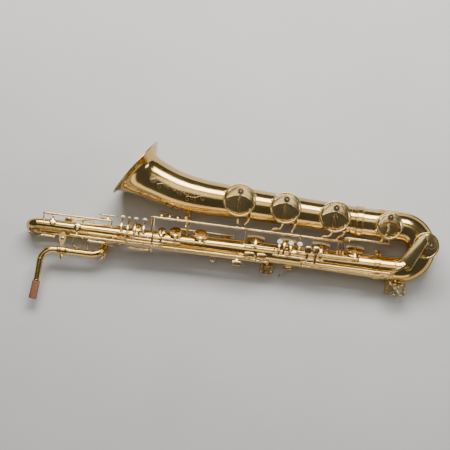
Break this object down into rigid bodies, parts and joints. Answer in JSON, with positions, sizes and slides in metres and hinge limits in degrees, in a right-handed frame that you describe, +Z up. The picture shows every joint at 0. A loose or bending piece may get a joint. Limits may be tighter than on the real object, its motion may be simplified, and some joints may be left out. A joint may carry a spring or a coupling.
{
  "type": "baritone saxophone",
  "caption": "Lacquered brass baritone saxophone with low A: conical body, bow, flared bell, top loop, curved neck and full hinged keywork, lying on its left side.",
  "frame": {"origin": "centre of the bounding box at the height of the surface that the instrument lies on", "axes": "+X along the body towards the bow, +Y from the body towards the bell, +Z up, out of the instrument right side"},
  "size_m": [1.1276, 0.466, 0.1816],
  "materials": {
    "lacquered_brass": "clear lacquer, polished",
    "cork": "matt reddish brown cork",
    "pad_leather": "tan kid leather",
    "pearl": "mother-of-pearl",
    "felt": "dark felt",
    "spring_steel": "blued steel"
  },
  "bodies": {
    "body": {"body_tube": "lacquered_brass", "bow": "lacquered_brass", "bell": "lacquered_brass", "body_clamp_ring": "lacquered_brass", "bell_clamp_ring": "lacquered_brass", "top_bow": "lacquered_brass", "pigtail": "lacquered_brass", "pigtail_brace": "lacquered_brass", "neck_receiver": "lacquered_brass", "receiver_brace": "lacquered_brass", "bell_brace": "lacquered_brass", "strap_ring": "lacquered_brass", "thumb_hook": "lacquered_brass", "thumb_rest": "lacquered_brass", "guard_low_A": "lacquered_brass", "guard_low_Bb": "lacquered_brass", "guard_low_B": "lacquered_brass", "guard_low_Cs": "lacquered_brass", "guard_low_C": "lacquered_brass", "guard_low_Eb": "lacquered_brass", "guard_alt_Fs": "lacquered_brass"},
    "key_low_A": {"key_low_A": "lacquered_brass", "pad_low_A": "pad_leather"},
    "lever_low_A": {"lever_low_A": "lacquered_brass"},
    "key_low_Bb": {"key_low_Bb": "lacquered_brass", "pad_low_Bb": "pad_leather"},
    "key_low_B": {"key_low_B": "lacquered_brass", "pad_low_B": "pad_leather"},
    "lever_low_C_sharp": {"lever_low_C_sharp": "lacquered_brass"},
    "key_low_C_sharp": {"key_low_Cs": "lacquered_brass", "pad_low_Cs": "pad_leather"},
    "key_low_C": {"key_low_C": "lacquered_brass", "pad_low_C": "pad_leather"},
    "key_low_Eb": {"key_low_Eb": "lacquered_brass"},
    "key_D": {"key_D": "lacquered_brass"},
    "key_E": {"key_E": "lacquered_brass"},
    "key_F": {"key_F": "lacquered_brass"},
    "key_F_sharp": {"key_F_sharp": "lacquered_brass"},
    "key_alt_F_sharp": {"key_alt_F_sharp": "lacquered_brass"},
    "key_G_sharp": {"key_G_sharp": "lacquered_brass"},
    "key_G": {"key_G": "lacquered_brass"},
    "key_A": {"key_A": "lacquered_brass"},
    "key_bis": {"key_bis": "lacquered_brass"},
    "key_B": {"key_B": "lacquered_brass"},
    "key_side_Bb": {"key_side_Bb": "lacquered_brass"},
    "key_side_C": {"key_side_C": "lacquered_brass"},
    "key_side_E": {"key_side_E": "lacquered_brass"},
    "key_front_F": {"key_front_F": "lacquered_brass"},
    "octave_lever": {"octave_lever": "lacquered_brass"},
    "octave_vent_body": {"octave_vent_body": "lacquered_brass"},
    "octave_vent_top": {"octave_vent_top": "lacquered_brass"},
    "key_palm_D": {"key_palm_D": "lacquered_brass"},
    "key_palm_Eb": {"key_palm_Eb": "lacquered_brass"},
    "key_palm_F": {"key_palm_F": "lacquered_brass"},
    "water_key": {"water_key": "lacquered_brass"},
    "neck": {"neck": "lacquered_brass", "neck_cork": "cork"},
    "neck_screw": {"neck_screw": "lacquered_brass"}
  },
  "joints": [
    {"name": "key_low_A_hinge", "type": "hinge", "parent": "body", "child": "key_low_A", "pos_m": [-0.08544, 0.02065, 0.11092], "axis": [0.9997, 0, -0.0246], "range_deg": [-6.5, 0], "stiffness_Nm_per_rad": 0.9, "springref_deg": 28.65},
    {"name": "lever_low_A_hinge", "type": "hinge", "parent": "body", "child": "lever_low_A", "pos_m": [-0.2449, -0.06247, 0.05349], "axis": [0.9997, 0, -0.0246], "range_deg": [0, 8], "stiffness_Nm_per_rad": 0.15, "springref_deg": -28.65},
    {"name": "key_low_Bb_hinge", "type": "hinge", "parent": "body", "child": "key_low_Bb", "pos_m": [-0.0157, 0.02239, 0.09936], "axis": [0.9997, 0, -0.0246], "range_deg": [-6.5, 0], "stiffness_Nm_per_rad": 0.9, "springref_deg": 28.65},
    {"name": "key_low_B_hinge", "type": "hinge", "parent": "body", "child": "key_low_B", "pos_m": [0.03404, 0.02412, 0.08828], "axis": [0.9997, 0, -0.0246], "range_deg": [-6.5, 0], "stiffness_Nm_per_rad": 0.9, "springref_deg": 28.65},
    {"name": "lever_low_C_sharp_hinge", "type": "hinge", "parent": "body", "child": "lever_low_C_sharp", "pos_m": [0.0438, 0.02585, 0.07819], "axis": [0.9997, 0, -0.0246], "range_deg": [-7, 0], "stiffness_Nm_per_rad": 0.3, "springref_deg": 28.65},
    {"name": "key_low_C_sharp_hinge", "type": "hinge", "parent": "body", "child": "key_low_C_sharp", "pos_m": [0.37194, 0.0353, 0.07991], "axis": [0.9997, 0, -0.0246], "range_deg": [0, 7], "stiffness_Nm_per_rad": 0.6, "springref_deg": -28.65},
    {"name": "key_low_C_hinge", "type": "hinge", "parent": "body", "child": "key_low_C", "pos_m": [0.32402, -0.04742, 0.08379], "axis": [0.9997, 0, -0.0246], "range_deg": [-6, 0], "stiffness_Nm_per_rad": 0.8, "springref_deg": 28.65},
    {"name": "key_low_Eb_hinge", "type": "hinge", "parent": "body", "child": "key_low_Eb", "pos_m": [0.32381, -0.05605, 0.07516], "axis": [0.9997, 0, -0.0246], "range_deg": [-6.5, 0], "stiffness_Nm_per_rad": 0.5, "springref_deg": 28.65},
    {"name": "key_D_hinge", "type": "hinge", "parent": "body", "child": "key_D", "pos_m": [0.26922, -0.02135, 0.09277], "axis": [0.9997, 0, -0.0246], "range_deg": [-6, 0], "stiffness_Nm_per_rad": 0.4, "springref_deg": 28.65},
    {"name": "key_E_hinge", "type": "hinge", "parent": "body", "child": "key_E", "pos_m": [0.20819, -0.03826, 0.09231], "axis": [0.9997, 0, -0.0246], "range_deg": [-5.5, 0], "stiffness_Nm_per_rad": 0.4, "springref_deg": 28.65},
    {"name": "key_F_hinge", "type": "hinge", "parent": "body", "child": "key_F", "pos_m": [0.14121, -0.03826, 0.09396], "axis": [0.9997, 0, -0.0246], "range_deg": [-5.5, 0], "stiffness_Nm_per_rad": 0.4, "springref_deg": 28.65},
    {"name": "key_F_sharp_hinge", "type": "hinge", "parent": "body", "child": "key_F_sharp", "pos_m": [0.08428, -0.02135, 0.09732], "axis": [0.9997, 0, -0.0246], "range_deg": [-6, 0], "stiffness_Nm_per_rad": 0.35, "springref_deg": 28.65},
    {"name": "key_alt_F_sharp_hinge", "type": "hinge", "parent": "body", "child": "key_alt_F_sharp", "pos_m": [0.12019, -0.04097, 0.01173], "axis": [0.9997, 0, -0.0246], "range_deg": [0, 8], "stiffness_Nm_per_rad": 0.2, "springref_deg": -28.65},
    {"name": "key_G_sharp_hinge", "type": "hinge", "parent": "body", "child": "key_G_sharp", "pos_m": [-0.07005, 0.00776, 0.0453], "axis": [0.9997, 0, -0.0246], "range_deg": [0, 8], "stiffness_Nm_per_rad": 0.3, "springref_deg": -28.65},
    {"name": "key_G_hinge", "type": "hinge", "parent": "body", "child": "key_G", "pos_m": [-0.15589, -0.03079, 0.09344], "axis": [0.9997, 0, -0.0246], "range_deg": [-7, 0], "stiffness_Nm_per_rad": 0.3, "springref_deg": 28.65},
    {"name": "key_A_hinge", "type": "hinge", "parent": "body", "child": "key_A", "pos_m": [-0.20091, -0.03966, 0.09299], "axis": [0.9997, 0, -0.0246], "range_deg": [-6.5, 0], "stiffness_Nm_per_rad": 0.3, "springref_deg": 28.65},
    {"name": "key_bis_hinge", "type": "hinge", "parent": "body", "child": "key_bis", "pos_m": [-0.23201, -0.04702, 0.08941], "axis": [0.9997, 0, -0.0246], "range_deg": [-6, 0], "stiffness_Nm_per_rad": 0.2, "springref_deg": 28.65},
    {"name": "key_B_hinge", "type": "hinge", "parent": "body", "child": "key_B", "pos_m": [-0.27485, -0.03079, 0.09637], "axis": [0.9997, 0, -0.0246], "range_deg": [-7, 0], "stiffness_Nm_per_rad": 0.25, "springref_deg": 28.65},
    {"name": "key_side_Bb_hinge", "type": "hinge", "parent": "body", "child": "key_side_Bb", "pos_m": [-0.04056, -0.05572, 0.06489], "axis": [0.9997, 0, -0.0246], "range_deg": [-8, 0], "stiffness_Nm_per_rad": 0.3, "springref_deg": 28.65},
    {"name": "key_side_C_hinge", "type": "hinge", "parent": "body", "child": "key_side_C", "pos_m": [-0.12834, -0.05455, 0.07487], "axis": [0.9997, 0, -0.0246], "range_deg": [-8, 0], "stiffness_Nm_per_rad": 0.3, "springref_deg": 28.65},
    {"name": "key_side_E_hinge", "type": "hinge", "parent": "body", "child": "key_side_E", "pos_m": [-0.19214, -0.05281, 0.08386], "axis": [0.9997, 0, -0.0246], "range_deg": [0, 8], "stiffness_Nm_per_rad": 0.3, "springref_deg": -28.65},
    {"name": "key_front_F_hinge", "type": "hinge", "parent": "body", "child": "key_front_F", "pos_m": [-0.41942, 0.00198, 0.07522], "axis": [0.9997, 0, -0.0246], "range_deg": [-8, 0], "stiffness_Nm_per_rad": 0.2, "springref_deg": 28.65},
    {"name": "octave_lever_hinge", "type": "hinge", "parent": "body", "child": "octave_lever", "pos_m": [-0.35975, -0.05873, 0.06104], "axis": [0.9997, 0, -0.0246], "range_deg": [0, 8], "stiffness_Nm_per_rad": 0.15, "springref_deg": -28.65},
    {"name": "octave_vent_body_hinge", "type": "hinge", "parent": "body", "child": "octave_vent_body", "pos_m": [-0.35354, -0.0277, 0.02877], "axis": [0.9997, 0, -0.0246], "range_deg": [0, 8], "stiffness_Nm_per_rad": 0.1, "springref_deg": -28.65},
    {"name": "octave_vent_top_hinge", "type": "hinge", "parent": "body", "child": "octave_vent_top", "pos_m": [-0.49371, -0.05873, 0.06433], "axis": [0.9997, 0, -0.0246], "range_deg": [-8, 0], "stiffness_Nm_per_rad": 0.1, "springref_deg": 28.65},
    {"name": "key_palm_D_pivot", "type": "hinge", "parent": "body", "child": "key_palm_D", "pos_m": [-0.28953, -0.02179, 0.02826], "axis": [-0.0043, -0.9849, -0.1733], "range_deg": [0, 8], "stiffness_Nm_per_rad": 0.15, "springref_deg": -28.65},
    {"name": "key_palm_Eb_pivot", "type": "hinge", "parent": "body", "child": "key_palm_Eb", "pos_m": [-0.33734, -0.00901, 0.03669], "axis": [-0.0151, -0.7882, -0.6152], "range_deg": [0, 5], "stiffness_Nm_per_rad": 0.15, "springref_deg": -28.65},
    {"name": "key_palm_F_pivot", "type": "hinge", "parent": "body", "child": "key_palm_F", "pos_m": [-0.40701, -0.00114, 0.05114], "axis": [-0.0228, -0.3749, -0.9268], "range_deg": [0, 6], "stiffness_Nm_per_rad": 0.15, "springref_deg": -28.65},
    {"name": "water_key_pivot", "type": "hinge", "parent": "body", "child": "water_key", "pos_m": [-0.33503, -0.09234, 0.04943], "axis": [0.0201, 0.5738, 0.8187], "range_deg": [-15, 0], "stiffness_Nm_per_rad": 0.08, "springref_deg": 28.65},
    {"name": "neck_swivel", "type": "hinge", "parent": "body", "child": "neck", "pos_m": [-0.46701, -0.09216, 0.0517], "axis": [0.9997, 0, -0.0246], "range_deg": [-30, 10]},
    {"name": "neck_screw_turn", "type": "hinge", "parent": "body", "child": "neck_screw", "pos_m": [-0.45189, -0.10931, 0.05643], "axis": [0.0242, -0.1733, 0.9846], "range_deg": [-90, 90]}
  ],
  "couplings": [
    {"joint": "key_low_A_hinge", "follows": "lever_low_A_hinge", "ratio": -0.8125},
    {"joint": "key_low_C_sharp_hinge", "follows": "lever_low_C_sharp_hinge", "ratio": -1},
    {"joint": "key_F_sharp_hinge", "follows": "key_F_hinge", "ratio": 1.09},
    {"joint": "octave_vent_body_hinge", "follows": "octave_lever_hinge", "ratio": 1},
    {"joint": "octave_vent_top_hinge", "follows": "octave_lever_hinge", "ratio": -1}
  ]
}
